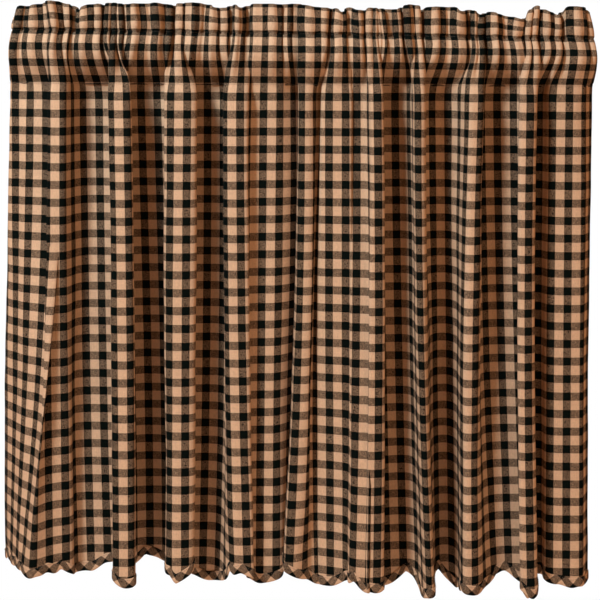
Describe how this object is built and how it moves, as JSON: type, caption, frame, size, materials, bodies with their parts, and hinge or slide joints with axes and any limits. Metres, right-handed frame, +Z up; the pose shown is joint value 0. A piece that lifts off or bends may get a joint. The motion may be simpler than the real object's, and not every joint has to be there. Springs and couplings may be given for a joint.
{
  "type": "cafe curtain pair",
  "caption": "Gathered check cafe curtains side by side on one rod line, each with a header ruffle, a rod pocket and a scalloped hem with bias binding.",
  "frame": {"origin": "on the rod line, halfway between the outer side edges, inside the rod pockets", "axes": "+X to the viewer's right, +Y away from the viewer, +Z up"},
  "size_m": [0.9188, 0.0745, 0.9043],
  "materials": {
    "check_cloth": "plain-woven cotton check in black and tan",
    "bias_binding": "the same cotton check cut on the bias"
  },
  "bodies": {
    "root": {"left_heading": "check_cloth", "left_panel": "check_cloth", "left_binding": "bias_binding", "right_heading": "check_cloth", "right_panel": "check_cloth", "right_binding": "bias_binding"}
  },
  "joints": []
}
